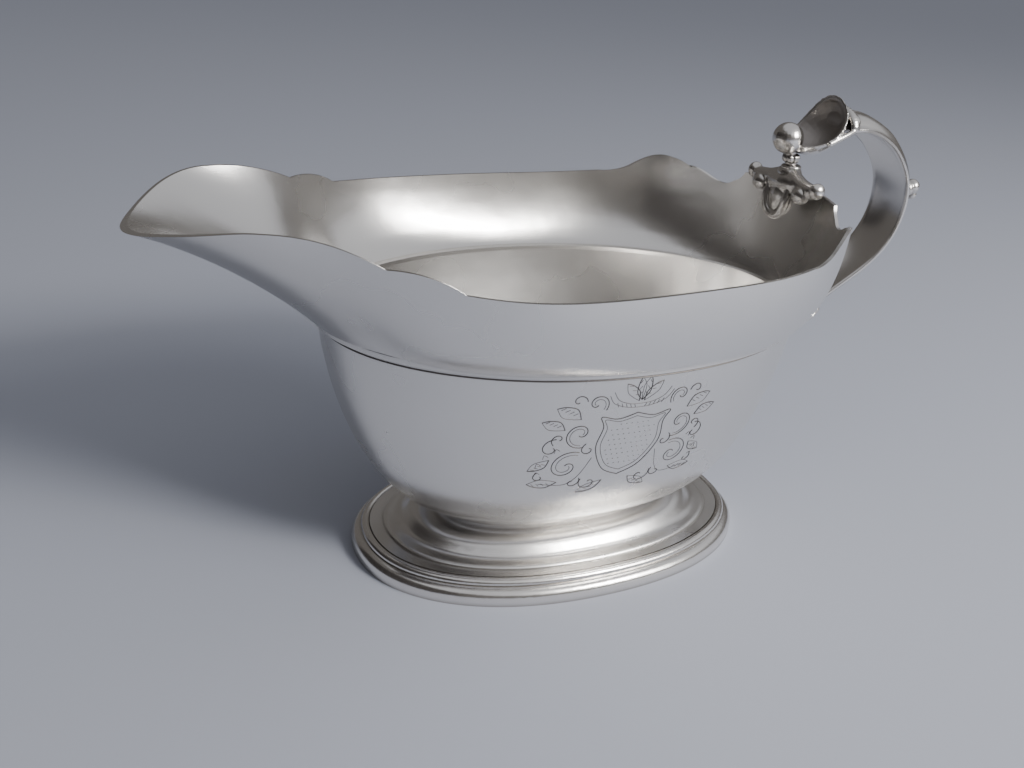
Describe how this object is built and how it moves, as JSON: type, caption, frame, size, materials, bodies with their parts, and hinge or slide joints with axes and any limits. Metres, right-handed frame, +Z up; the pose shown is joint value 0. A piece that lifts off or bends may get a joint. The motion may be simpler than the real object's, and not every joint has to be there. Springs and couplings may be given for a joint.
{
  "type": "sauce boat",
  "caption": "Oval silver sauce boat on a moulded foot, with a wide open spout, a shaped rim and a scroll handle ending in an open leaf over a cast bracket.",
  "frame": {"origin": "the centre of the foot, on the plane it stands on", "axes": "+Z is up, -X is towards the spout, +X is towards the handle, and the boat is symmetric about the plane y = 0"},
  "size_m": [0.1991, 0.0996, 0.1076],
  "materials": {
    "silver_sheet": "old hand-polished silver sheet, satin from use, finely scratched",
    "silver_wire": "drawn silver moulding, polished, darker in its grooves",
    "silver_cast": "cast silver, chased and polished, dark in its recesses"
  },
  "bodies": {
    "root": {"bowl": "silver_sheet", "collar": "silver_sheet", "neck_ring": "silver_sheet", "foot_dome": "silver_sheet", "foot_wire": "silver_wire", "handle_strap": "silver_cast", "handle_leaf": "silver_cast", "ball_terminal": "silver_cast", "handle_strut": "silver_cast", "rim_bracket": "silver_cast", "strap_bud": "silver_cast", "strap_tail": "silver_cast"}
  },
  "joints": []
}
